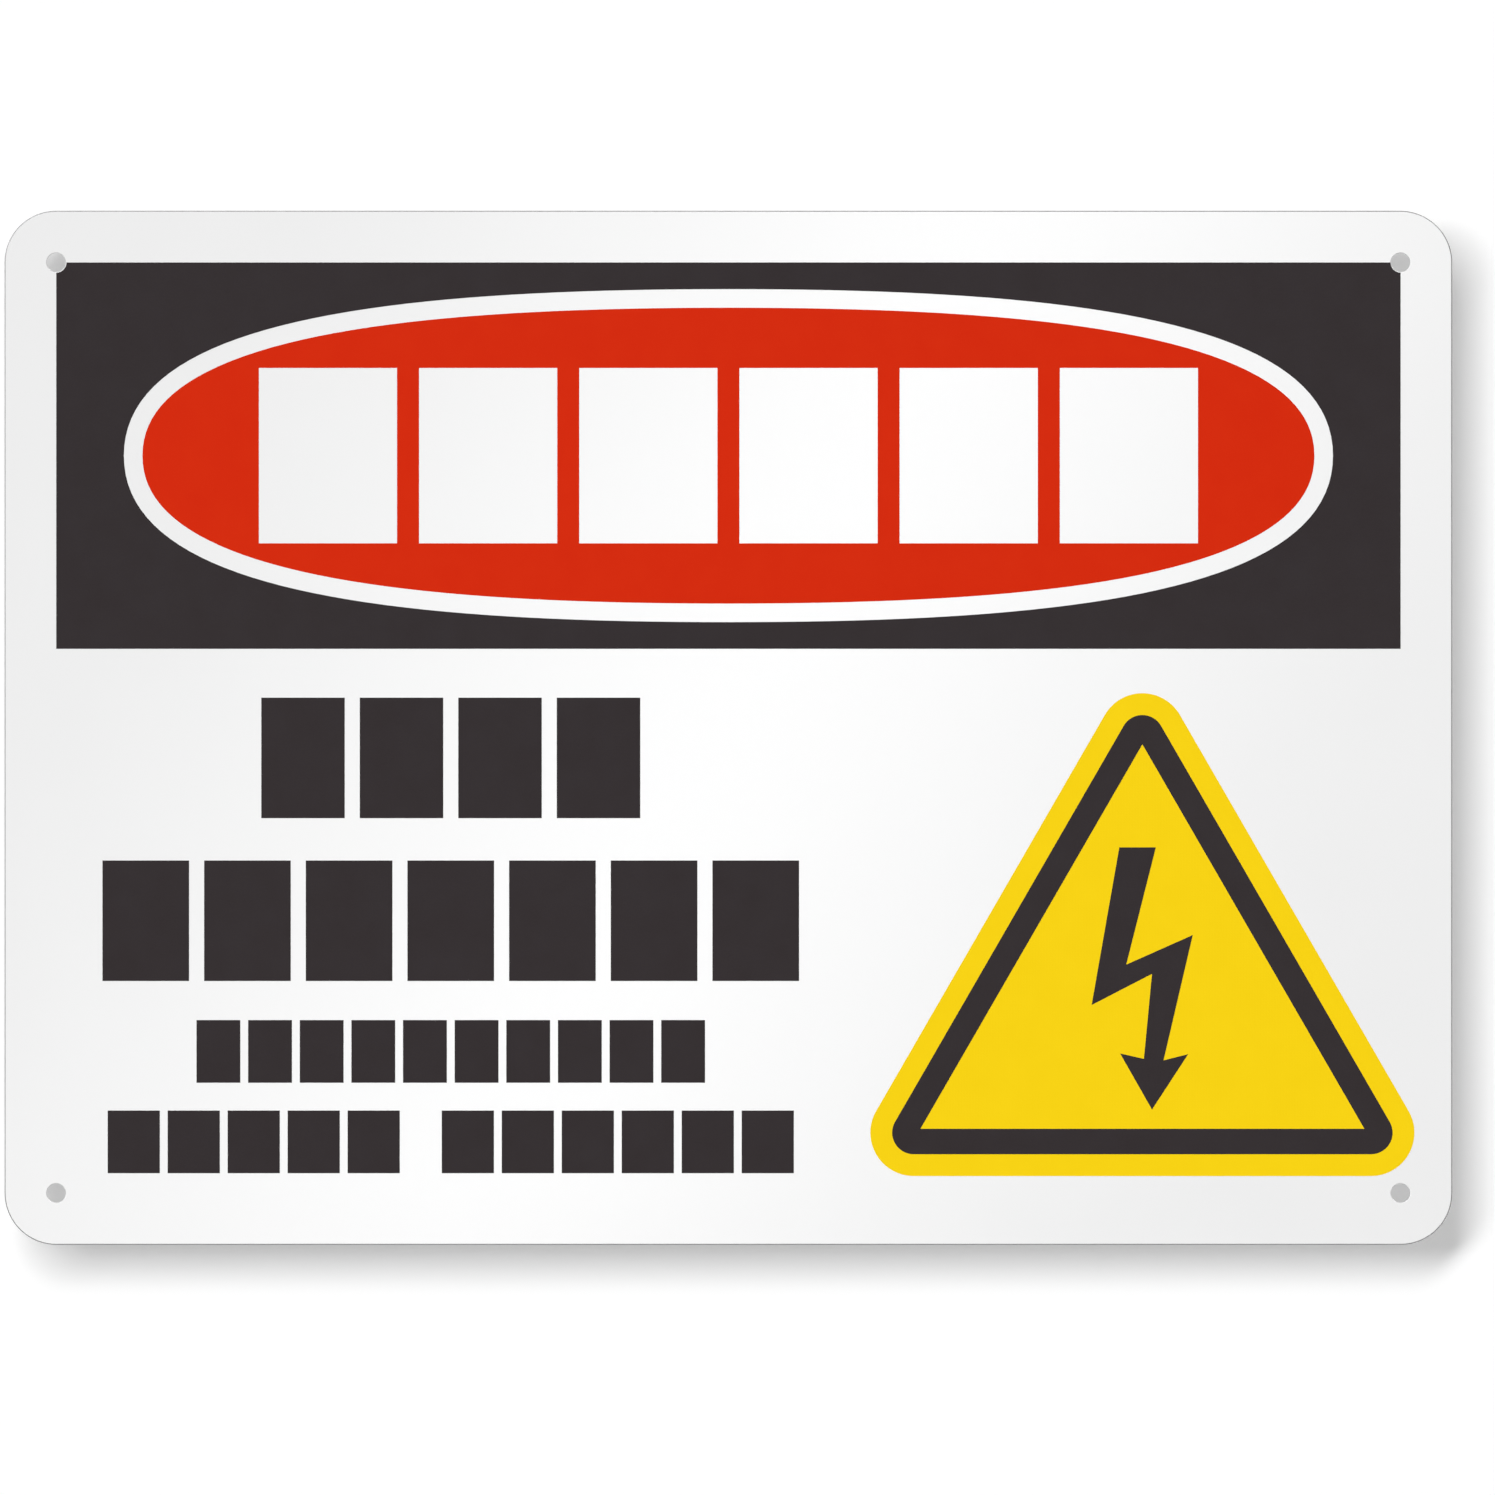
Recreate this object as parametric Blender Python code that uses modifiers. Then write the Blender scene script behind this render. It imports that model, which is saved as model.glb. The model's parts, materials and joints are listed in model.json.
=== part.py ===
"""High voltage warning sign: one flat sheet of printed aluminium with round corners and four holes.

The sign stands upright with its printed face towards -Y, and the origin is the centre of its back
face. Everything is drawn flat, as on a printer's layout: x to the right, y up, both from the middle
of the sheet, and z out of the printed face, from 0 at the back. An empty then stands it upright.
"""

import math

import bmesh
import bpy
from mathutils import Vector
from mathutils.geometry import interpolate_bezier

# Sheet: 0.040 inch aluminium, cut to 14 by 10 inches, with every edge broken
SHEET_WIDTH = 0.3556
SHEET_HEIGHT = 0.2540
SHEET_THICKNESS = 0.001016
CORNER_RADIUS = 0.0127
EDGE_BREAK = 0.00025

# Fixing holes: 3/16 inch, each centred half an inch in from two edges
HOLE_DIAMETER = 0.00476
HOLE_INSET = 0.0127

# Ink stands a little proud of the white face, and black goes over yellow
INK_FILM = 0.00003

# Header: a black panel hung from the middles of the upper holes, with a ringed red oval in it
HEADER_HEIGHT = 0.0949
OVAL_END_CLEARANCE = 0.0166
OVAL_TOP_CLEARANCE = 0.00655
OVAL_TOP_PULL = 0.57  # of the half width, along which a quarter of the oval leaves the top
OVAL_END_PULL = 0.81  # of the half height, along which it leaves the end
RING_WIDTH = 0.00456
HEADER_ROW_END_CLEARANCE = 0.0286
HEADER_ROW_TOP_CLEARANCE = 0.0148
HEADER_BLOCK_GAP = 0.0054
HEADER_GROUPS = (6,)

# Symbol: a yellow triangle with a black band, and a bolt in it
SYMBOL_TOP_CLEARANCE = 0.0109
SYMBOL_SIDE_MARGIN = 0.0093
SYMBOL_LOWER_MARGIN = 0.0169
BORDER_WIDTH = 0.00536
BAND_WIDTH = 0.00625
BAND_CORNER_RADIUS = 0.0053
BOLT_OUTLINE = (
    # in hundredths of the yellow field's height, from the middle of its base
    (-6.0, 73.2),
    (3.5, 73.2),
    (-4.2, 42.7),
    (13.1, 50.4),
    (5.5, 17.8),
    (11.9, 19.4),
    (2.5, 5.0),
    (-5.8, 19.6),
    (0.4, 18.2),
    (2.5, 40.3),
    (-13.2, 32.2),
)

# Rows of plain blocks, some of them in two groups, in a column left of the symbol
ROWS_TOP_CLEARANCE = 0.0120
ROWS_LEFT_MARGIN = 0.02405
ROWS_LOWER_MARGIN = 0.0176
ROWS_RIGHT_CLEARANCE = 0.0175
BLOCK_GAP = 0.125  # of the row's height, as is the next
GROUP_GAP = 0.67
ROWS = (
    # blocks in each group, then shares of the column: the row's width, its height, the gap below
    ((4,), 0.544, 0.2534, 0.0890),
    ((7,), 1.000, 0.2534, 0.0822),
    ((10,), 0.730, 0.1318, 0.0584),
    ((5, 6), 0.985, 0.1318, 0.0),
)

# Facets of each round stretch
CORNER_STEPS = 16
HOLE_STEPS = 32
OVAL_STEPS = 28
SYMBOL_STEPS = 12

# Working allowances: how deep an ink solid is rooted in the sheet, how far a cutter runs past the
# sheet, and how near two corners are made one
ROOT = SHEET_THICKNESS / 2
OVERRUN = 0.002
WELD = 0.000001

# Places that follow from the sizes
HOLE_X = SHEET_WIDTH / 2 - HOLE_INSET
HOLE_Y = SHEET_HEIGHT / 2 - HOLE_INSET
HEADER_BOTTOM = HOLE_Y - HEADER_HEIGHT
HEADER_MIDDLE = Vector((0, HOLE_Y - HEADER_HEIGHT / 2))
BORDER_CORNER_RADIUS = BAND_CORNER_RADIUS + BORDER_WIDTH
SYMBOL_BOTTOM = SYMBOL_LOWER_MARGIN - SHEET_HEIGHT / 2
SYMBOL_HEIGHT = HEADER_BOTTOM - SYMBOL_TOP_CLEARANCE - SYMBOL_BOTTOM
BORDER_REACH = (SYMBOL_HEIGHT + BORDER_CORNER_RADIUS) / 3  # from the middle out to each side
BAND_REACH = BORDER_REACH - BORDER_WIDTH
FIELD_REACH = BAND_REACH - BAND_WIDTH
SYMBOL_HALF_WIDTH = math.sqrt(3) * (BORDER_REACH - BORDER_CORNER_RADIUS) + BORDER_CORNER_RADIUS
SYMBOL_MIDDLE = Vector(
    (SHEET_WIDTH / 2 - SYMBOL_SIDE_MARGIN - SYMBOL_HALF_WIDTH, SYMBOL_BOTTOM + BORDER_REACH)
)


def clear_scene():
    for old in list(bpy.data.objects):
        bpy.data.objects.remove(old, do_unlink=True)


def new_collection(name):
    collection = bpy.data.collections.new(name)
    bpy.context.scene.collection.children.link(collection)
    return collection


def linear(channel):
    return channel / 12.92 if channel <= 0.04045 else ((channel + 0.055) / 1.055) ** 2.4


def finish(name, colour, metallic, roughness):
    """A material from its sRGB hex colour."""
    material = bpy.data.materials.new(name)
    material.use_nodes = True
    shader = material.node_tree.nodes["Principled BSDF"]
    channels = [linear(int(colour[i : i + 2], 16) / 255) for i in (0, 2, 4)]
    shader.inputs["Base Color"].default_value = (*channels, 1.0)
    shader.inputs["Metallic"].default_value = metallic
    shader.inputs["Roughness"].default_value = roughness
    material.diffuse_color = (*channels, 1.0)
    return material


def at_angle(degrees):
    return Vector((math.cos(math.radians(degrees)), math.sin(math.radians(degrees))))


def arc(centre, radius, start, sweep, steps):
    """Points along an arc, in degrees anticlockwise, both ends included."""
    return [centre + radius * at_angle(start + sweep * i / steps) for i in range(steps + 1)]


def rectangle(left, right, bottom, top):
    return [Vector(corner) for corner in ((left, bottom), (right, bottom), (right, top), (left, top))]


def sheet_outline():
    points = []
    for quarter, (side, rise) in enumerate(((1, 1), (-1, 1), (-1, -1), (1, -1))):
        x = side * (SHEET_WIDTH / 2 - CORNER_RADIUS)
        y = rise * (SHEET_HEIGHT / 2 - CORNER_RADIUS)
        points += arc(Vector((x, y)), CORNER_RADIUS, 90 * quarter, 90, CORNER_STEPS)
    return points


def oval(inset):
    """The header's oval, which is fuller than an ellipse, moved in by the same inset all round."""
    half_width = HOLE_X - OVAL_END_CLEARANCE
    half_height = HEADER_HEIGHT / 2 - OVAL_TOP_CLEARANCE
    end = Vector((half_width, 0))
    end_handle = Vector((half_width, OVAL_END_PULL * half_height))
    top_handle = Vector((OVAL_TOP_PULL * half_width, half_height))
    top = Vector((0, half_height))
    curve = interpolate_bezier(end, end_handle, top_handle, top, OVAL_STEPS + 1)
    edge = [point.to_2d() for point in curve]
    # past both ends of the quarter the oval goes on as its mirror image
    edge = [Vector((edge[1].x, -edge[1].y)), *edge, Vector((-edge[-2].x, edge[-2].y))]
    quarter = []
    for before, here, after in zip(edge, edge[1:], edge[2:]):
        along = (after - before).normalized()
        quarter.append(here + inset * along.orthogonal())
    upper = quarter + [Vector((-point.x, point.y)) for point in reversed(quarter[:-1])]
    lower = [-point for point in upper[1:-1]]
    return [HEADER_MIDDLE + point for point in upper + lower]


def triangle(reach, radius):
    """The symbol's triangle, its sides this far from its middle and its corners rounded."""
    points = []
    for direction in (90, 210, 330):
        corner = SYMBOL_MIDDLE + 2 * (reach - radius) * at_angle(direction)
        points += arc(corner, radius, direction - 60, 120, SYMBOL_STEPS) if radius else [corner]
    return points


def bolt():
    base = SYMBOL_MIDDLE - Vector((0, FIELD_REACH))
    field_height = 3 * FIELD_REACH
    return [base + Vector(corner) * (field_height / 100) for corner in BOLT_OUTLINE]


def block_row(groups, centre, width, bottom, top, block_gap, group_gap):
    """Equal rectangles along one row, with a wider gap between two groups."""
    count = sum(groups)
    gaps = (count - len(groups)) * block_gap + (len(groups) - 1) * group_gap
    block = (width - gaps) / count
    left = centre - width / 2
    row = []
    for group in groups:
        for _ in range(group):
            row.append(rectangle(left, left + block, bottom, top))
            left += block + block_gap
        left += group_gap - block_gap
    return row


def header_blocks():
    width = 2 * (HOLE_X - OVAL_END_CLEARANCE - RING_WIDTH - HEADER_ROW_END_CLEARANCE)
    half = HEADER_HEIGHT / 2 - OVAL_TOP_CLEARANCE - RING_WIDTH - HEADER_ROW_TOP_CLEARANCE
    bottom, top = HEADER_MIDDLE.y - half, HEADER_MIDDLE.y + half
    return block_row(HEADER_GROUPS, 0, width, bottom, top, HEADER_BLOCK_GAP, 0)


def column_blocks():
    left = ROWS_LEFT_MARGIN - SHEET_WIDTH / 2
    right = SYMBOL_MIDDLE.x - SYMBOL_HALF_WIDTH - ROWS_RIGHT_CLEARANCE
    top = HEADER_BOTTOM - ROWS_TOP_CLEARANCE
    column_height = top - (ROWS_LOWER_MARGIN - SHEET_HEIGHT / 2)
    blocks = []
    for groups, width, height, gap in ROWS:
        tall = height * column_height
        middle, wide = (left + right) / 2, width * (right - left)
        block_gap, group_gap = BLOCK_GAP * tall, GROUP_GAP * tall
        blocks += block_row(groups, middle, wide, top - tall, top, block_gap, group_gap)
        top -= tall + gap * column_height
    return blocks


def add_mesh(name, mesh, collection, layout):
    """An object of a mesh, its corners welded, its flat faces flat and its round walls smooth."""
    welded = bmesh.new()
    welded.from_mesh(mesh)
    bmesh.ops.remove_doubles(welded, verts=welded.verts, dist=WELD)
    welded.to_mesh(mesh)
    welded.free()
    mesh.set_sharp_from_angle(angle=math.radians(30))
    for face in mesh.polygons:
        face.use_smooth = abs(face.normal.z) < 0.5
    solid = bpy.data.objects.new(name, mesh)
    solid.parent = layout
    collection.objects.link(solid)
    return solid


def flat_solid(name, outlines, low, high, collection, layout):
    """A flat solid from z low to z high. An outline inside another is a hole in it."""
    curve = bpy.data.curves.new(name, "CURVE")
    curve.dimensions = "2D"
    curve.fill_mode = "BOTH"
    curve.extrude = (high - low) / 2
    for outline in outlines:
        spline = curve.splines.new("POLY")
        spline.points.add(len(outline) - 1)
        for point, corner in zip(spline.points, outline):
            point.co = (corner.x, corner.y, 0, 1)
        spline.use_cyclic_u = True
    drawn = bpy.data.objects.new(name + "_outline", curve)
    drawn.parent = layout
    drawn.location.z = (high + low) / 2
    collection.objects.link(drawn)
    bpy.context.view_layer.update()
    evaluated = drawn.evaluated_get(bpy.context.evaluated_depsgraph_get())
    solid = add_mesh(name, bpy.data.meshes.new_from_object(evaluated), collection, layout)
    solid.matrix_world = drawn.matrix_world
    bpy.data.objects.remove(drawn, do_unlink=True)
    return solid


def as_tool(solid, material):
    """A solid that only shapes the sheet. The faces that it leaves there have its material."""
    solid.data.materials.clear()
    solid.data.materials.append(material)
    solid.hide_render = True
    solid.display_type = "WIRE"


def make_sheet(collection, layout, white, bare):
    """The sheet, with a white face, and with a bare back, rim and broken edges."""
    sheet = flat_solid("sign_panel", [sheet_outline()], 0, SHEET_THICKNESS, collection, layout)
    sheet.data.materials.clear()
    sheet.data.materials.append(white)
    sheet.data.materials.append(bare)
    for face in sheet.data.polygons:
        face.material_index = 0 if face.normal.z > 0.5 else 1
    bevel = sheet.modifiers.new("edge_break", "BEVEL")
    bevel.width = EDGE_BREAK
    bevel.segments = 2
    bevel.limit_method = "ANGLE"
    bevel.angle_limit = math.radians(60)
    bevel.material = 1
    return sheet


def make_inks(tools, layout, black, red, yellow):
    """Each ink as a solid rooted in the sheet, from the header down."""
    low, first = SHEET_THICKNESS - ROOT, SHEET_THICKNESS + INK_FILM
    second = first + INK_FILM
    panel = [rectangle(-HOLE_X, HOLE_X, HEADER_BOTTOM, HOLE_Y), oval(0)]
    red_field = [oval(RING_WIDTH), *header_blocks()]
    border = [triangle(BORDER_REACH, BORDER_CORNER_RADIUS)]
    band_and_bolt = [triangle(BAND_REACH, BAND_CORNER_RADIUS), triangle(FIELD_REACH, 0), bolt()]
    for name, outlines, top, ink in (
        ("header_ink", panel, first, black),
        ("oval_ink", red_field, first, red),
        ("row_ink", column_blocks(), first, black),
        ("triangle_ink", border, first, yellow),
        ("symbol_ink", band_and_bolt, second, black),
    ):
        as_tool(flat_solid(name, outlines, low, top, tools, layout), ink)


def make_hole_cutters(tools, layout, bare):
    radius = HOLE_DIAMETER / 2
    depth = SHEET_THICKNESS + 2 * OVERRUN
    for side, rise in ((-1, 1), (1, 1), (-1, -1), (1, -1)):
        mesh = bpy.data.meshes.new("hole_cutter")
        cutter = bmesh.new()
        bmesh.ops.create_cone(
            cutter, cap_ends=True, segments=HOLE_STEPS, radius1=radius, radius2=radius, depth=depth
        )
        cutter.to_mesh(mesh)
        cutter.free()
        hole = add_mesh("hole_cutter", mesh, tools, layout)
        hole.location = (side * HOLE_X, rise * HOLE_Y, SHEET_THICKNESS / 2)
        as_tool(hole, bare)


def shape_with(panel, operation, tools):
    boolean = panel.modifiers.new(tools.name, "BOOLEAN")
    boolean.operation = operation
    boolean.operand_type = "COLLECTION"
    boolean.collection = tools
    boolean.solver = "EXACT"
    boolean.material_mode = "TRANSFER"


def build():
    clear_scene()
    sign = new_collection("high_voltage_warning_sign")
    inks = new_collection("printed_inks")
    cutters = new_collection("hole_cutters")

    layout = bpy.data.objects.new("layout", None)
    layout.rotation_euler.x = math.radians(90)
    sign.objects.link(layout)

    white = finish("white_face", "F1F1F1", 0.0, 0.3)
    black = finish("black_ink", "383334", 0.0, 0.3)
    red = finish("red_ink", "D52D11", 0.0, 0.3)
    yellow = finish("yellow_ink", "F8D418", 0.0, 0.3)
    bare = finish("bare_aluminium", "B4B6B8", 1.0, 0.38)

    panel = make_sheet(sign, layout, white, bare)
    make_inks(inks, layout, black, red, yellow)
    make_hole_cutters(cutters, layout, bare)
    shape_with(panel, "UNION", inks)
    shape_with(panel, "DIFFERENCE", cutters)


build()
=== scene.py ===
"""High voltage warning sign: the looks of its one piece, the printed sheet.

The sheet is blanked from gloss white pre-painted aluminium, punched, and screen printed with matt inks.
It is modelled lying down, x to the right, y up the face and z out of it, with the bare back at z = 0,
and turned upright once it is whole. Sizes are in millimetres until then.
"""

import json
import math

import bmesh
import bpy
from mathutils import Matrix, Vector

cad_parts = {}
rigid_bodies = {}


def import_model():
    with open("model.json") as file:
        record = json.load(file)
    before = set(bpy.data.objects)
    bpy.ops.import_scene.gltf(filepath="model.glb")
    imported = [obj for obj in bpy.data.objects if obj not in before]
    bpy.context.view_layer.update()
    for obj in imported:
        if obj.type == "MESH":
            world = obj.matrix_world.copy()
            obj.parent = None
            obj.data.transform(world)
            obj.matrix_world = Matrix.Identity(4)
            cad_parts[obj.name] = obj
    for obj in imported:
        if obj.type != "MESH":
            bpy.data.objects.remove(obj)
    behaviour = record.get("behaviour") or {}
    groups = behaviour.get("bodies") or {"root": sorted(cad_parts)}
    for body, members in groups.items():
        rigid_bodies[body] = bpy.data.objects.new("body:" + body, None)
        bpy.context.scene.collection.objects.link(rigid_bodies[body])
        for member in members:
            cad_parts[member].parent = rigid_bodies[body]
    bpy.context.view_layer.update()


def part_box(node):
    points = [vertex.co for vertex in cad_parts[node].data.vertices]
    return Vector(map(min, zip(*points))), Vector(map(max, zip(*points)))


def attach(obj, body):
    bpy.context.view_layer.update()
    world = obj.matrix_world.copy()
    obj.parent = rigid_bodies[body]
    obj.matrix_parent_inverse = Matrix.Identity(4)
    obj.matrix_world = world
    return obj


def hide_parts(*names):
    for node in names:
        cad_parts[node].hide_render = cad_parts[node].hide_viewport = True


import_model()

MM = 0.001
low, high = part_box("sign_panel")

# Sheet and its inks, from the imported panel
INK_FILM = 0.03
WIDTH = (high.x - low.x) / MM
HEIGHT = (high.z - low.z) / MM
THICKNESS = (high.y - low.y) / MM - 2 * INK_FILM
CORNER_RADIUS = 12.7
EDGE_BREAK = 0.25
ROOT = THICKNESS / 2  # how deep an ink is rooted in the sheet

# Punched holes: a rolled lip where the punch went in, then a straight wall, then a torn flare
HOLE_RADIUS = 2.38
HOLE_INSET = 12.7
LIP_RADIUS = 0.12
FLARE = 0.06
FLARE_SHARE = 0.35  # of the thickness
HOLE_X = WIDTH / 2 - HOLE_INSET
HOLE_Y = HEIGHT / 2 - HOLE_INSET

# Header: a black panel hung from the middles of the upper holes, with a ringed red oval in it
HEADER_HEIGHT = 94.9
OVAL_END_CLEARANCE = 16.6
OVAL_TOP_CLEARANCE = 6.55
OVAL_TOP_PULL = 0.57  # of the half width, along which a quarter of the oval leaves the top
OVAL_END_PULL = 0.81  # of the half height, along which it leaves the end
RING_WIDTH = 4.56
HEADER_ROW_END_CLEARANCE = 28.6
HEADER_ROW_TOP_CLEARANCE = 14.8
HEADER_BLOCK_GAP = 5.4
HEADER_GROUPS = (6,)
HEADER_BOTTOM = HOLE_Y - HEADER_HEIGHT
HEADER_MIDDLE = HOLE_Y - HEADER_HEIGHT / 2
OVAL_HALF_WIDTH = HOLE_X - OVAL_END_CLEARANCE
OVAL_HALF_HEIGHT = HEADER_HEIGHT / 2 - OVAL_TOP_CLEARANCE
HEADER_ROW_HALF_WIDTH = OVAL_HALF_WIDTH - RING_WIDTH - HEADER_ROW_END_CLEARANCE
HEADER_ROW_HALF_HEIGHT = OVAL_HALF_HEIGHT - RING_WIDTH - HEADER_ROW_TOP_CLEARANCE

# Symbol: a yellow triangle with a black band, and a bolt in it
SYMBOL_TOP_CLEARANCE = 10.9
SYMBOL_SIDE_MARGIN = 9.3
SYMBOL_LOWER_MARGIN = 16.9
BORDER_WIDTH = 5.36
BAND_WIDTH = 6.25
BAND_CORNER_RADIUS = 5.3
BORDER_CORNER_RADIUS = BAND_CORNER_RADIUS + BORDER_WIDTH
SYMBOL_BOTTOM = SYMBOL_LOWER_MARGIN - HEIGHT / 2
SYMBOL_HEIGHT = HEADER_BOTTOM - SYMBOL_TOP_CLEARANCE - SYMBOL_BOTTOM
BORDER_REACH = (SYMBOL_HEIGHT + BORDER_CORNER_RADIUS) / 3  # from its middle out to each side
BAND_REACH = BORDER_REACH - BORDER_WIDTH
FIELD_REACH = BAND_REACH - BAND_WIDTH
SYMBOL_HALF_WIDTH = math.sqrt(3) * (BORDER_REACH - BORDER_CORNER_RADIUS) + BORDER_CORNER_RADIUS
SYMBOL_X = WIDTH / 2 - SYMBOL_SIDE_MARGIN - SYMBOL_HALF_WIDTH
SYMBOL_MIDDLE = Vector((SYMBOL_X, SYMBOL_BOTTOM + BORDER_REACH, 0))
BOLT_OUTLINE = (
    # in hundredths of the yellow field's height, from the middle of its base
    (-6.0, 73.2),
    (3.5, 73.2),
    (-4.2, 42.7),
    (13.1, 50.4),
    (5.5, 17.8),
    (11.9, 19.4),
    (2.5, 5.0),
    (-5.8, 19.6),
    (0.4, 18.2),
    (2.5, 40.3),
    (-13.2, 32.2),
)

# Rows of plain blocks, some of them in two groups, in a column left of the symbol
ROWS_TOP_CLEARANCE = 12.0
ROWS_LEFT_MARGIN = 24.05
ROWS_LOWER_MARGIN = 17.6
ROWS_RIGHT_CLEARANCE = 17.5
COLUMN_LEFT = ROWS_LEFT_MARGIN - WIDTH / 2
COLUMN_RIGHT = SYMBOL_X - SYMBOL_HALF_WIDTH - ROWS_RIGHT_CLEARANCE
COLUMN_TOP = HEADER_BOTTOM - ROWS_TOP_CLEARANCE
COLUMN_HEIGHT = COLUMN_TOP - (ROWS_LOWER_MARGIN - HEIGHT / 2)
BLOCK_GAP = 0.125  # of the row's height, as is the next
GROUP_GAP = 0.67
ROWS = (
    # blocks in each group, then shares of the column: the row's width, its height, the gap below
    ((4,), 0.544, 0.2534, 0.0890),
    ((7,), 1.000, 0.2534, 0.0822),
    ((10,), 0.730, 0.1318, 0.0584),
    ((5, 6), 0.985, 0.1318, 0.0),
)

# How finely round stretches are drawn
POST_SIDES = 96
HOLE_SIDES = 64
OVAL_STEPS = 40
RIM_STEPS = 3
LIP_STEPS = 4

# Working allowances: how far an opening's solid runs past the ink, how near two points are made one,
# and how square to the sheet a face of its front or back is
OVERRUN = 1.0
WELD = 0.001
SQUARE = 0.99

# Angles between two faces, in degrees: under the first they are made one, past the second their edge is
# a rim and gets broken, and past the third it stays sharp
ONE_FACE = 0.5
RIM_EDGE = 60
SHARP_EDGE = 40

# Camera: its lens and sensor in millimetres, the rest in metres
LENS = 200.0
SENSOR = 36.0
VIEW_SIDE = 0.3672  # of the square that the picture takes in at the sign's face
VIEW_RIGHT = 0.00469  # how far the picture's middle lies right of the sign's, and below it
VIEW_DOWN = 0.00484

# Wall and floor, in metres, and how much of white each adds to what the lamps give it
WALL_GAP = 0.007
WALL_SIDE = 1.2
FLOOR_LEVEL = -0.24
FLOOR_SIDE = 3.0
PALE = "F0F0F0"
WALL_GLOW = 0.17
FLOOR_GLOW = 0.25

# Lamps, each aimed at the sign's middle from its place, in metres
SKY_LIGHT = 0.15
KEY_LAMPS = 6
KEY_LIGHT = 1.83  # from all of them, on the sign's face
KEY_START = Vector((-0.29, -1, 1.40))  # above the sign, a little to the left
KEY_END = Vector((-1.42, -1, 0.30))  # left of the sign, a little above
KEY_SPREAD = 0.75  # how far each blurs a shadow's edge, for each metre back
FILL_LIGHT = 0.25
FILL_PLACE = (0, -1, 0)
BACK_LIGHT = 2.4
BACK_PLACE = (0.6, 1, 0.8)
BACK_WIDTH = 30.0  # in degrees
SHEEN_POWER = 19.2
SHEEN_PLACE = (0.005, -2.3, 0.03)
SHEEN_WIDTH = 0.6
SHEEN_LENGTH = 2.25
SHEEN_LEAN = -26.9  # in degrees

# Blender's wave texture repeats after this length at a scale of 1
WAVE_PERIOD = math.tau / 20

# Solids that only shape the sheet
TOOL_SETS = ("bench", "inks", "header_opening", "field_openings", "band_opening", "punches")


# Flat shapes


def to_mesh(made, name):
    """Ends a bmesh as a mesh whose faces point outwards."""
    bmesh.ops.recalc_face_normals(made, faces=made.faces)
    mesh = bpy.data.meshes.new(name)
    made.to_mesh(mesh)
    made.free()
    return mesh


def block(left, right, bottom, top, floor, roof):
    """An upright block between two corners of the layout."""
    made = bmesh.new()
    bmesh.ops.create_cube(made, size=1)
    bmesh.ops.scale(made, vec=(right - left, top - bottom, roof - floor), verts=made.verts)
    middle = Vector((left + right, bottom + top, floor + roof)) / 2
    bmesh.ops.translate(made, vec=middle, verts=made.verts)
    return made


def hull_of_posts(corners, radius, floor, roof):
    """A plate with round corners: the hull of a round post at each corner."""
    made = bmesh.new()
    for corner in corners:
        for level in (floor, roof):
            place = Matrix.Translation((corner.x, corner.y, level))
            bmesh.ops.create_circle(made, segments=POST_SIDES, radius=radius, matrix=place)
    hull = bmesh.ops.convex_hull(made, input=made.verts)
    inside = {v for v in hull["geom_interior"] + hull["geom_unused"] if isinstance(v, bmesh.types.BMVert)}
    bmesh.ops.delete(made, geom=list(inside), context="VERTS")
    bmesh.ops.dissolve_limit(made, angle_limit=math.radians(ONE_FACE), verts=made.verts, edges=made.edges)
    return made


def raise_outline(made, floor, roof):
    """Turns the one face of a bmesh into a solid between two levels."""
    bmesh.ops.translate(made, vec=(0, 0, floor), verts=made.verts)
    grown = bmesh.ops.extrude_face_region(made, geom=made.faces[:], use_keep_orig=True)
    lifted = [v for v in grown["geom"] if isinstance(v, bmesh.types.BMVert)]
    bmesh.ops.translate(made, vec=(0, 0, roof - floor), verts=lifted)
    return made


def shrink(made, width):
    """Moves the outline of a bmesh's one face in by the same width all round."""
    rim = bmesh.ops.inset_individual(made, faces=made.faces[:], thickness=width, use_even_offset=True)
    bmesh.ops.delete(made, geom=rim["faces"], context="FACES")
    return made


def oval_outline():
    """The header's oval, which is fuller than an ellipse, as one face."""
    curve = bpy.data.curves.new("oval", "CURVE")
    curve.dimensions = "2D"
    curve.fill_mode = "NONE"
    spline = curve.splines.new("BEZIER")
    spline.bezier_points.add(3)
    spline.resolution_u = OVAL_STEPS
    spline.use_cyclic_u = True
    for point, (x, y) in zip(spline.bezier_points, ((1, 0), (0, 1), (-1, 0), (0, -1))):
        along = Vector((-y * OVAL_TOP_PULL * OVAL_HALF_WIDTH, x * OVAL_END_PULL * OVAL_HALF_HEIGHT, 0))
        point.co = (x * OVAL_HALF_WIDTH, HEADER_MIDDLE + y * OVAL_HALF_HEIGHT, 0)
        point.handle_left_type = point.handle_right_type = "FREE"
        point.handle_left = point.co - along
        point.handle_right = point.co + along
    drawn = bpy.data.objects.new("oval", curve)
    made = bmesh.new()
    made.from_mesh(drawn.to_mesh())
    bpy.data.objects.remove(drawn)
    bmesh.ops.contextual_create(made, geom=made.edges[:])
    return made


def sharp_triangle(reach):
    made = bmesh.new()
    place = Matrix.Translation(SYMBOL_MIDDLE)
    bmesh.ops.create_circle(made, cap_ends=True, segments=3, radius=2 * reach, matrix=place)
    return made


def round_triangle(reach, radius, floor, roof):
    """The symbol's triangle, its sides this far from its middle and its corners rounded."""
    spoke = Vector((0, 2 * (reach - radius), 0))
    turns = [Matrix.Rotation(math.radians(angle), 3, "Z") for angle in (0, 120, 240)]
    return hull_of_posts([SYMBOL_MIDDLE + turn @ spoke for turn in turns], radius, floor, roof)


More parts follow.
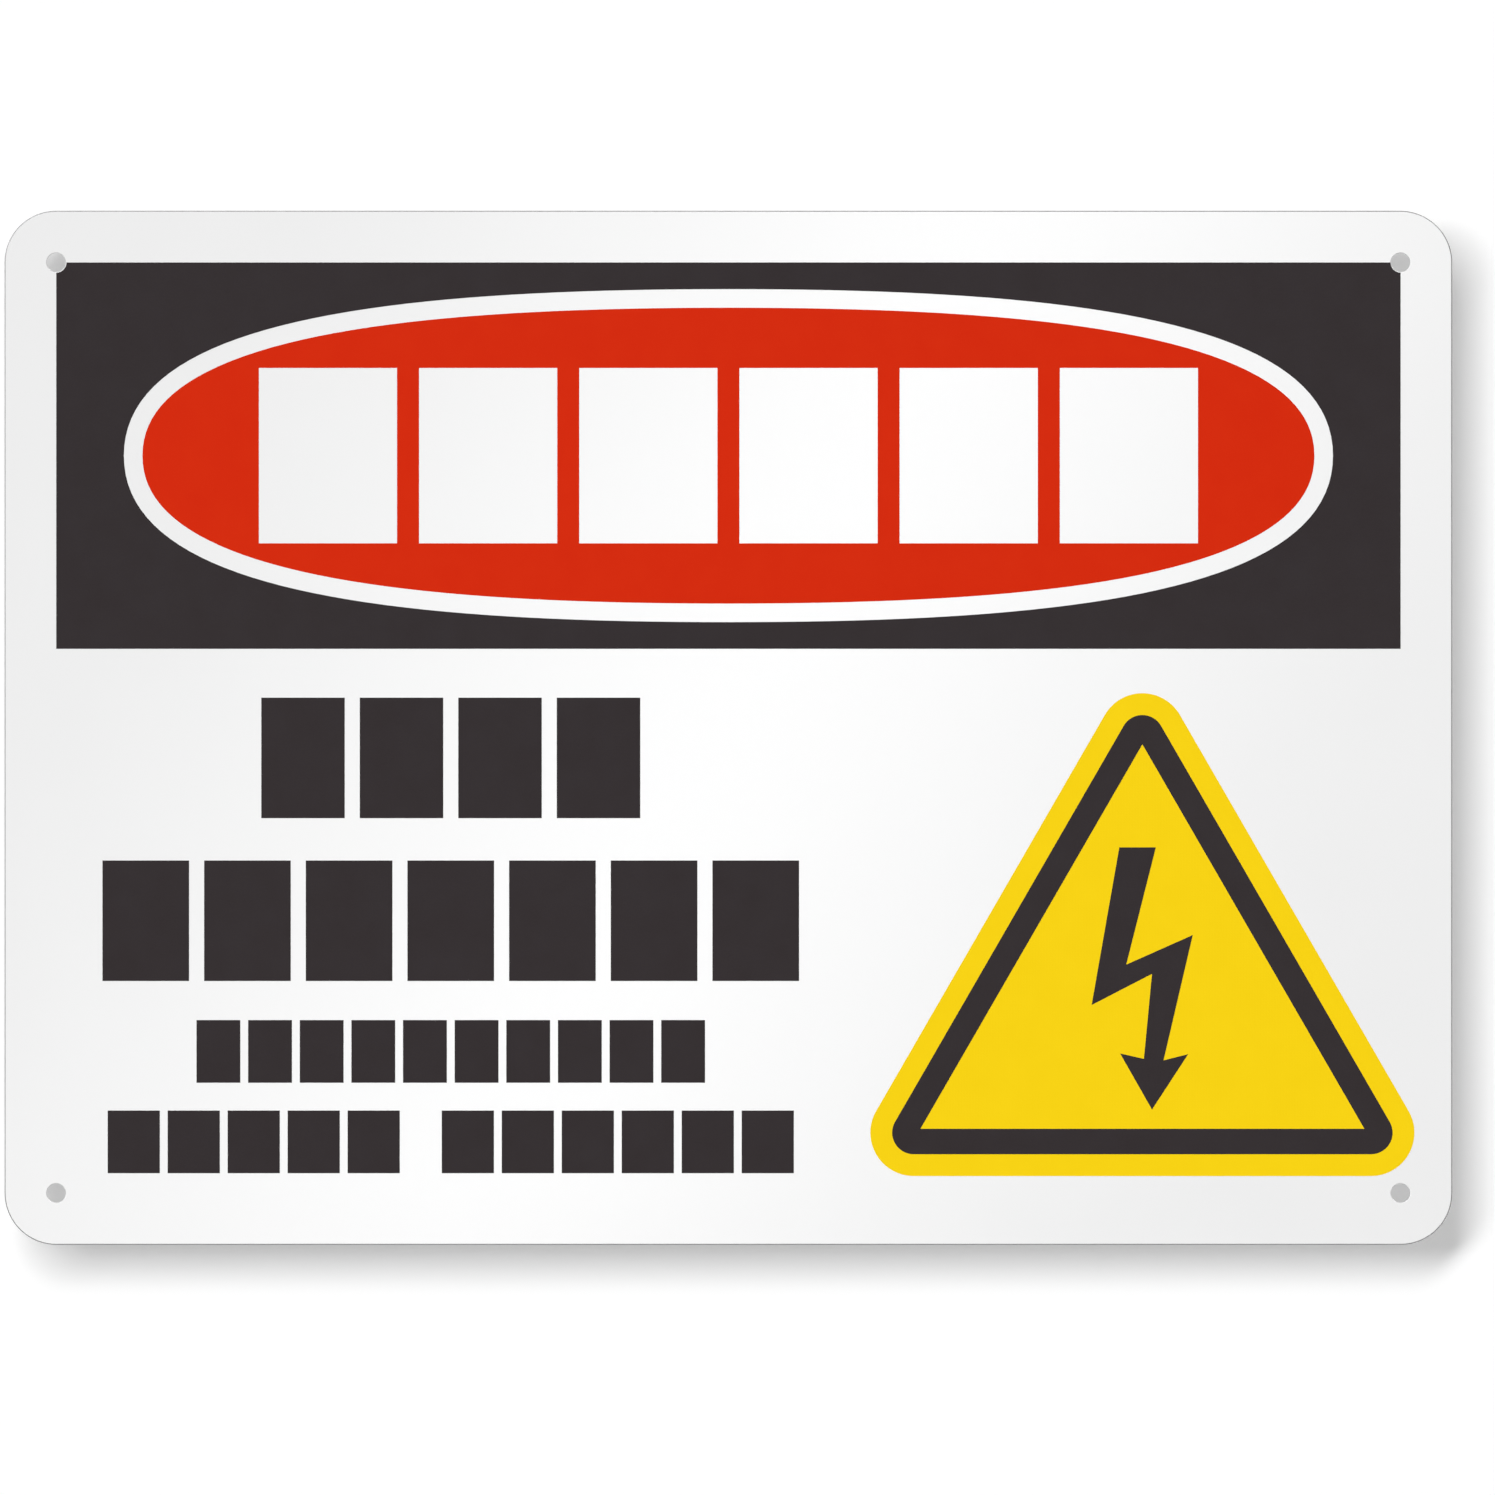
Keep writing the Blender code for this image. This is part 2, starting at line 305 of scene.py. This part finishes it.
def bolt_outline():
    made = bmesh.new()
    base = SYMBOL_MIDDLE - Vector((0, FIELD_REACH, 0))
    hundredth = 3 * FIELD_REACH / 100
    made.faces.new([made.verts.new(base + Vector((x, y, 0)) * hundredth) for x, y in BOLT_OUTLINE])
    return made


def block_row(groups, middle, width, bottom, top, block_gap, group_gap):
    """The left and right ends of equal blocks along one row, with a wider gap between two groups."""
    count = sum(groups)
    gaps = (count - len(groups)) * block_gap + (len(groups) - 1) * group_gap
    block_width = (width - gaps) / count
    left = middle - width / 2
    row = []
    for group in groups:
        for _ in range(group):
            row.append((left, left + block_width, bottom, top))
            left += block_width + block_gap
        left += group_gap - block_gap
    return row


def header_row():
    bottom, top = HEADER_MIDDLE - HEADER_ROW_HALF_HEIGHT, HEADER_MIDDLE + HEADER_ROW_HALF_HEIGHT
    return block_row(HEADER_GROUPS, 0, 2 * HEADER_ROW_HALF_WIDTH, bottom, top, HEADER_BLOCK_GAP, 0)


def column_rows():
    top = COLUMN_TOP
    rows = []
    for groups, width, height, gap in ROWS:
        tall = height * COLUMN_HEIGHT
        middle, wide = (COLUMN_LEFT + COLUMN_RIGHT) / 2, width * (COLUMN_RIGHT - COLUMN_LEFT)
        rows += block_row(groups, middle, wide, top - tall, top, BLOCK_GAP * tall, GROUP_GAP * tall)
        top -= tall + gap * COLUMN_HEIGHT
    return rows


# The sheet and what shapes it


def blank_sheet(white, edge, back):
    """The blanked sheet, its two rims broken: white in front, bare behind and round the rim."""
    x, y = WIDTH / 2 - CORNER_RADIUS, HEIGHT / 2 - CORNER_RADIUS
    corners = [Vector((side * x, rise * y)) for side in (1, -1) for rise in (1, -1)]
    made = hull_of_posts(corners, CORNER_RADIUS, 0, THICKNESS)
    bmesh.ops.recalc_face_normals(made, faces=made.faces)
    rims = [e for e in made.edges if e.calc_face_angle() > math.radians(RIM_EDGE)]
    bmesh.ops.bevel(
        made, geom=rims, offset=EDGE_BREAK, offset_type="OFFSET", segments=RIM_STEPS, profile=0.5,
        affect="EDGES", material=-1,
    )
    made.normal_update()
    for face in made.faces:
        face.material_index = 0 if face.normal.z > SQUARE else 2 if face.normal.z < -SQUARE else 1
    mesh = to_mesh(made, "blank_sheet")
    for material in (white, edge, back):
        mesh.materials.append(material)
    return mesh


def punch(x, y, white, edge):
    """What a punch leaves of one hole, turned round its axis and longer than the sheet is thick."""
    lip = HOLE_RADIUS + LIP_RADIUS
    flare = HOLE_RADIUS + FLARE
    profile = [(0, -THICKNESS), (flare, -THICKNESS), (flare, 0), (HOLE_RADIUS, FLARE_SHARE * THICKNESS)]
    for step in range(LIP_STEPS + 1):
        turn = math.radians(180 - 90 * step / LIP_STEPS)
        profile.append((lip + LIP_RADIUS * math.cos(turn), THICKNESS + LIP_RADIUS * (math.sin(turn) - 1)))
    profile += [(lip, 2 * THICKNESS), (0, 2 * THICKNESS)]
    made = bmesh.new()
    line = [made.verts.new((radius, 0, level)) for radius, level in profile]
    sides = [made.edges.new(pair) for pair in zip(line, line[1:])]
    bmesh.ops.spin(
        made, geom=line + sides, cent=(0, 0, 0), axis=(0, 0, 1), angle=math.tau, steps=HOLE_SIDES,
        use_merge=True,
    )
    bmesh.ops.remove_doubles(made, verts=made.verts, dist=WELD)
    for face in made.faces:
        level = face.calc_center_median().z
        face.material_index = 0 if level > THICKNESS - LIP_RADIUS else 1
    bmesh.ops.translate(made, vec=(x, y, 0), verts=made.verts)
    mesh = to_mesh(made, "punch")
    mesh.materials.append(white)
    mesh.materials.append(edge)
    return mesh


def tool_set(name):
    """A collection of solids that only shape the sheet."""
    tools = bpy.data.collections.new(name)
    bpy.context.scene.collection.children.link(tools)
    return tools


def add_tool(tools, name, mesh, material=None):
    if material:
        mesh.materials.append(material)
    tool = bpy.data.objects.new(name, mesh)
    tools.objects.link(tool)
    return tool


def shape_with(piece, operation, tools):
    """Joins a solid with every solid of a set, or cuts it with them."""
    boolean = piece.modifiers.new(tools.name, "BOOLEAN")
    boolean.operation = operation
    boolean.operand_type = "COLLECTION"
    boolean.collection = tools
    boolean.solver = "EXACT"
    boolean.material_mode = "TRANSFER"


def printed_inks(black, red, yellow):
    """Each ink as a film rooted in the sheet, and what is left open in it."""
    inks = tool_set("inks")
    floor, first = THICKNESS - ROOT, THICKNESS + INK_FILM
    second = first + INK_FILM
    under, over = floor - OVERRUN, second + OVERRUN

    header = block(-HOLE_X, HOLE_X, HEADER_BOTTOM, HOLE_Y, floor, first)
    header = add_tool(inks, "header_ink", to_mesh(header, "header_ink"), black)
    opening = raise_outline(oval_outline(), under, over)
    header_opening = tool_set("header_opening")
    add_tool(header_opening, "oval_opening", to_mesh(opening, "oval_opening"), black)
    shape_with(header, "DIFFERENCE", header_opening)

    field = raise_outline(shrink(oval_outline(), RING_WIDTH), floor, first)
    field = add_tool(inks, "oval_ink", to_mesh(field, "oval_ink"), red)
    field_openings = tool_set("field_openings")
    for ends in header_row():
        opening = to_mesh(block(*ends, under, over), "block_opening")
        add_tool(field_openings, "block_opening", opening, red)
    shape_with(field, "DIFFERENCE", field_openings)

    for ends in column_rows():
        add_tool(inks, "row_ink", to_mesh(block(*ends, floor, first), "row_ink"), black)

    border = round_triangle(BORDER_REACH, BORDER_CORNER_RADIUS, floor, first)
    add_tool(inks, "triangle_ink", to_mesh(border, "triangle_ink"), yellow)
    band = round_triangle(BAND_REACH, BAND_CORNER_RADIUS, floor, second)
    band = add_tool(inks, "band_ink", to_mesh(band, "band_ink"), black)
    band_opening = tool_set("band_opening")
    opening = raise_outline(sharp_triangle(FIELD_REACH), under, over)
    add_tool(band_opening, "field_opening", to_mesh(opening, "field_opening"), black)
    shape_with(band, "DIFFERENCE", band_opening)
    bolt = raise_outline(bolt_outline(), floor, second)
    add_tool(inks, "bolt_ink", to_mesh(bolt, "bolt_ink"), black)
    return inks


def punched_holes(white, edge):
    punches = tool_set("punches")
    for side in (-1, 1):
        for rise in (-1, 1):
            add_tool(punches, "punch", punch(side * HOLE_X, rise * HOLE_Y, white, edge))
    return punches


def printed_sign(white, black, red, yellow, edge, back):
    """The sheet joined with its inks and cut by its holes, as one closed solid, then stood upright."""
    bench = tool_set("bench")
    blank = add_tool(bench, "blank", blank_sheet(white, edge, back))
    shape_with(blank, "UNION", printed_inks(black, red, yellow))
    shape_with(blank, "DIFFERENCE", punched_holes(white, edge))
    bpy.context.view_layer.update()
    whole = blank.evaluated_get(bpy.context.evaluated_depsgraph_get())
    mesh = bpy.data.meshes.new_from_object(whole)
    mesh.name = "printed_sign"
    for tools in list(bpy.context.scene.collection.children):
        if tools.name in TOOL_SETS:
            for tool in list(tools.objects):
                bpy.data.objects.remove(tool, do_unlink=True)
            bpy.data.collections.remove(tools)
    mesh.transform(Matrix.Rotation(math.radians(90), 4, "X") @ Matrix.Scale(MM, 4))
    mesh.set_sharp_from_angle(angle=math.radians(SHARP_EDGE))
    for face in mesh.polygons:
        face.use_smooth = abs(face.normal.y) < SQUARE
    sign = bpy.data.objects.new("printed_sign", mesh)
    bpy.context.scene.collection.objects.link(sign)
    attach(sign, "root")
    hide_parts("sign_panel")
    sign.visible_diffuse = False  # its bright back would light the wall


# Materials


def srgb(hex_colour):
    """The linear colour of an sRGB hex value."""
    channels = [int(hex_colour[i : i + 2], 16) / 255 for i in (0, 2, 4)]
    return (*[c / 12.92 if c <= 0.04045 else ((c + 0.055) / 1.055) ** 2.4 for c in channels], 1.0)


def new_material(name):
    """A material with its node tree, its shader and the place that its patterns read."""
    material = bpy.data.materials.new(name)
    material.use_nodes = True
    tree = material.node_tree
    return material, tree, tree.nodes["Principled BSDF"], node(tree, "TexCoord", {}).outputs["Object"]


def node(tree, kind, sockets, **settings):
    """Adds a node of a kind, or sets one that is there. A socket takes a value or a node's output."""
    made = kind if isinstance(kind, bpy.types.Node) else tree.nodes.new("ShaderNode" + kind)
    for name, value in settings.items():
        setattr(made, name, value)
    for name, value in sockets.items():
        if isinstance(value, bpy.types.NodeSocket):
            tree.links.new(value, made.inputs[name])
        else:
            made.inputs[name].default_value = value
    return made


def gloss_white_enamel():
    """White polyester enamel, roller coated and baked: glossy, with a faint orange peel."""
    wave_width, wave_depth = 70 * MM, 0.02 * MM
    peel_width, peel_depth = 1.6 * MM, 0.002 * MM
    cloud_width = 30 * MM
    material, tree, shader, place = new_material("gloss_white_enamel")
    waves = node(tree, "TexNoise", {"Vector": place, "Scale": 1 / wave_width, "Detail": 1.0})
    wavy = node(tree, "Bump", {"Height": waves.outputs["Fac"], "Distance": wave_depth, "Strength": 1.0})
    peel = node(tree, "TexNoise", {"Vector": place, "Scale": 1 / peel_width, "Detail": 2.0})
    sockets = {"Height": peel.outputs["Fac"], "Distance": peel_depth, "Strength": 1.0}
    bump = node(tree, "Bump", {**sockets, "Normal": wavy.outputs["Normal"]})
    cloud = node(tree, "TexNoise", {"Vector": place, "Scale": 1 / cloud_width, "Detail": 3.0})
    cloud = cloud.outputs["Fac"]
    tint = node(tree, "Mix", {"Factor": cloud, "A": srgb("EFEFEF"), "B": srgb("F1F1F1")}, data_type="RGBA")
    gloss = node(tree, "MapRange", {"Value": cloud, "To Min": 0.10, "To Max": 0.14})
    sockets = {"Base Color": tint.outputs["Result"], "Roughness": gloss.outputs["Result"]}
    node(tree, shader, {**sockets, "Normal": bump.outputs["Normal"]})
    return material


def matt_ink(name, thin, full):
    """Matt ink, screen printed on the enamel: flat and even, but for a little more ink here and there
    and the print of the screen's threads.
    """
    lay_width = 9 * MM
    thread_pitch = 0.7 * MM  # a real screen's 0.1 mm would not show
    thread_depth = 0.006 * MM
    material, tree, shader, place = new_material(name)
    lay = node(tree, "TexNoise", {"Vector": place, "Scale": 1 / lay_width, "Detail": 4.0}).outputs["Fac"]
    tint = node(tree, "Mix", {"Factor": lay, "A": srgb(thin), "B": srgb(full)}, data_type="RGBA")
    sockets = {"Vector": place, "Scale": WAVE_PERIOD / thread_pitch}
    warp, weft = [node(tree, "TexWave", sockets, bands_direction=side).outputs["Fac"] for side in "XZ"]
    threads = node(tree, "Math", {0: warp, 1: weft}, operation="MULTIPLY").outputs["Value"]
    bump = node(tree, "Bump", {"Height": threads, "Distance": thread_depth, "Strength": 1.0})
    gloss = node(tree, "MapRange", {"Value": lay, "To Min": 0.44, "To Max": 0.56})
    sockets = {"Base Color": tint.outputs["Result"], "Roughness": gloss.outputs["Result"]}
    node(tree, shader, {**sockets, "Normal": bump.outputs["Normal"], "Specular IOR Level": 0.08})
    return material


def sheared_aluminium():
    """Bare aluminium where the blank and the holes were cut: grey, with fine marks across the thickness."""
    mark_width, mark_depth = 0.15 * MM, 0.01 * MM
    mark_squeeze = 0.05  # of the pattern across the thickness, so that a mark is 20 times as long as wide
    material, tree, shader, place = new_material("sheared_aluminium")
    across = node(tree, "Mapping", {"Vector": place, "Scale": (1, mark_squeeze, 1)}).outputs["Vector"]
    grit = {"Vector": across, "Scale": 1 / mark_width, "Detail": 3.0}
    marks = node(tree, "TexNoise", grit).outputs["Fac"]
    tint = node(tree, "Mix", {"Factor": marks, "A": srgb("6E6E6E"), "B": srgb("828282")}, data_type="RGBA")
    bump = node(tree, "Bump", {"Height": marks, "Distance": mark_depth, "Strength": 1.0})
    sockets = {"Base Color": tint.outputs["Result"], "Metallic": 1.0, "Roughness": 0.45}
    node(tree, shader, {**sockets, "Normal": bump.outputs["Normal"]})
    return material


def mill_finish_aluminium():
    """Bare rolled aluminium: bright and satin, with long fine lines and broad streaks along the rolling."""
    line_pitch = 1.2 * MM  # real lines are 0.1 mm apart, which would not show
    line_depth = 0.006 * MM
    streak_width = 9 * MM
    rolling_squeeze = 0.012  # of the pattern, so that a line is about 80 times as long as wide
    material, tree, shader, place = new_material("mill_finish_aluminium")
    along = node(tree, "Mapping", {"Vector": place, "Scale": (rolling_squeeze, 1, 1)}).outputs["Vector"]
    lines = node(tree, "TexNoise", {"Vector": along, "Scale": 1 / line_pitch, "Detail": 5.0}).outputs["Fac"]
    streaks = node(tree, "TexNoise", {"Vector": along, "Scale": 1 / streak_width, "Detail": 3.0})
    streaks = streaks.outputs["Fac"]
    both = node(tree, "Mix", {"Factor": 0.5, "A": lines, "B": streaks}, data_type="FLOAT").outputs["Result"]
    tint = node(tree, "Mix", {"Factor": both, "A": srgb("A9ABAE"), "B": srgb("D9DBDD")}, data_type="RGBA")
    gloss = node(tree, "MapRange", {"Value": lines, "To Min": 0.22, "To Max": 0.46})
    bump = node(tree, "Bump", {"Height": lines, "Distance": line_depth, "Strength": 1.0})
    sockets = {"Base Color": tint.outputs["Result"], "Metallic": 1.0, "Roughness": gloss.outputs["Result"]}
    node(tree, shader, {**sockets, "Normal": bump.outputs["Normal"]})
    return material


# Studio


def seen_by_eye(tree):
    """Is 1 for what the eye sees, plainly, mirrored or through glass, and 0 for what lights the sign."""
    path = node(tree, "LightPath", {}).outputs
    plainly, mirrored, through = path["Is Camera Ray"], path["Is Glossy Ray"], path["Is Transmission Ray"]
    seen = node(tree, "Math", {0: plainly, 1: mirrored}, operation="MAXIMUM").outputs["Value"]
    return node(tree, "Math", {0: seen, 1: through}, operation="MAXIMUM").outputs["Value"]


def pale_plane(name, side, place, turn, glow):
    """A pale wall or floor, clear from behind, with a little light of its own that only the eye sees."""
    made = bmesh.new()
    bmesh.ops.create_grid(made, x_segments=1, y_segments=1, size=side / 2)
    bmesh.ops.transform(made, matrix=Matrix.Translation(place) @ turn, verts=made.verts)
    mesh = bpy.data.meshes.new(name)
    made.to_mesh(mesh)
    made.free()
    plane = bpy.data.objects.new(name, mesh)
    bpy.context.scene.collection.objects.link(plane)

    material = bpy.data.materials.new(name)
    material.use_nodes = True
    mesh.materials.append(material)
    tree = material.node_tree
    own_light = node(tree, "Math", {0: seen_by_eye(tree), 1: glow}, operation="MULTIPLY").outputs["Value"]
    plain = {"Base Color": srgb(PALE), "Roughness": 1.0, "Specular IOR Level": 0.0}
    light = {"Emission Color": srgb("FFFFFF"), "Emission Strength": own_light}
    paint = node(tree, tree.nodes["Principled BSDF"], {**plain, **light}).outputs["BSDF"]
    behind = node(tree, "NewGeometry", {}).outputs["Backfacing"]
    clear = node(tree, "BsdfTransparent", {}).outputs["BSDF"]
    either = node(tree, "MixShader", {0: behind, 1: paint, 2: clear}).outputs["Shader"]
    node(tree, tree.nodes["Material Output"], {"Surface": either})
    return plane


def add_wall_and_floor():
    """The wall catches the drop shadow. Neither of the two lights the sign or the other."""
    upright = Matrix.Rotation(math.radians(90), 4, "X")
    wall = pale_plane("wall", WALL_SIDE, (0, WALL_GAP, 0), upright, WALL_GLOW)
    wall.visible_diffuse = wall.visible_glossy = wall.visible_transmission = wall.visible_shadow = False
    floor = pale_plane("floor", FLOOR_SIDE, (0, 0, FLOOR_LEVEL), Matrix.Identity(4), FLOOR_GLOW)
    floor.visible_diffuse = False


def add_light(name, kind, place, **settings):
    """A lamp that shines at the sign's middle and isn't seen itself."""
    lamp = bpy.data.lights.new(name, kind)
    for setting, value in settings.items():
        setattr(lamp, setting, value)
    light = bpy.data.objects.new(name, lamp)
    light.location = place
    light.rotation_euler = (-Vector(place)).to_track_quat("-Z", "Y").to_euler()
    light.visible_camera = False
    bpy.context.scene.collection.objects.link(light)
    return light


def add_lights():
    """A soft key bent round the upper left, a weak fill, a light for the back, and the sheen's lamp."""
    for lamp in range(KEY_LAMPS):
        place = KEY_START.lerp(KEY_END, lamp / (KEY_LAMPS - 1))
        energy = KEY_LIGHT / KEY_LAMPS * place.length
        add_light(f"key_{lamp + 1}", "SUN", place, energy=energy, angle=KEY_SPREAD / place.length_squared)
    fill = add_light("fill", "SUN", FILL_PLACE, energy=FILL_LIGHT, use_shadow=False)
    fill.visible_glossy = False
    add_light("back", "SUN", BACK_PLACE, energy=BACK_LIGHT, angle=math.radians(BACK_WIDTH))

    # The enamel mirrors this lamp as a slanting band, which fades evenly from its middle line
    shape = {"shape": "RECTANGLE", "size": SHEEN_WIDTH, "size_y": SHEEN_LENGTH, "use_shadow": False}
    sheen = add_light("sheen", "AREA", SHEEN_PLACE, energy=SHEEN_POWER, **shape)
    sheen.rotation_euler.rotate_axis("Z", math.radians(SHEEN_LEAN))
    sheen.data.use_nodes = True
    tree = sheen.data.node_tree
    spot = node(tree, "NewGeometry", {}).outputs["Parametric"]
    across = node(tree, "SeparateXYZ", {0: spot}).outputs["X"]
    off_middle = node(tree, "Math", {0: across, 1: 0.5}, operation="SUBTRACT").outputs["Value"]
    off_middle = node(tree, "Math", {0: off_middle}, operation="ABSOLUTE").outputs["Value"]
    fade = node(tree, "MapRange", {"Value": off_middle, "From Max": 0.5, "To Min": 1.0, "To Max": 0.0})
    node(tree, tree.nodes["Emission"], {"Strength": fade.outputs["Result"]})


def add_sky():
    """A white background that lights the sign only weakly."""
    world = bpy.data.worlds.new("studio")
    bpy.context.scene.world = world
    world.use_nodes = True
    tree = world.node_tree
    strength = node(tree, "MapRange", {"Value": seen_by_eye(tree), "To Min": SKY_LIGHT, "To Max": 1.0})
    sockets = {"Color": srgb("FFFFFF"), "Strength": strength.outputs["Result"]}
    node(tree, tree.nodes["Background"], sockets)


def add_camera():
    """A long lens square to the sign, as far off as makes the view's side what it is."""
    lens = bpy.data.cameras.new("camera")
    lens.lens = LENS
    lens.sensor_width = SENSOR
    camera = bpy.data.objects.new("camera", lens)
    distance = VIEW_SIDE * LENS / SENSOR
    camera.location = (VIEW_RIGHT, low.y - distance, -VIEW_DOWN)
    camera.rotation_euler = (math.radians(90), 0, 0)
    bpy.context.scene.collection.objects.link(camera)
    bpy.context.scene.camera = camera


printed_sign(
    white=gloss_white_enamel(),
    black=matt_ink("matt_black_ink", "312C2E", "2D2728"),
    red=matt_ink("matt_red_ink", "D72A00", "D32400"),
    yellow=matt_ink("matt_yellow_ink", "FCD70C", "F8D208"),
    edge=sheared_aluminium(),
    back=mill_finish_aluminium(),
)
add_wall_and_floor()
add_lights()
add_sky()
add_camera()
bpy.context.scene.view_settings.view_transform = "Standard"
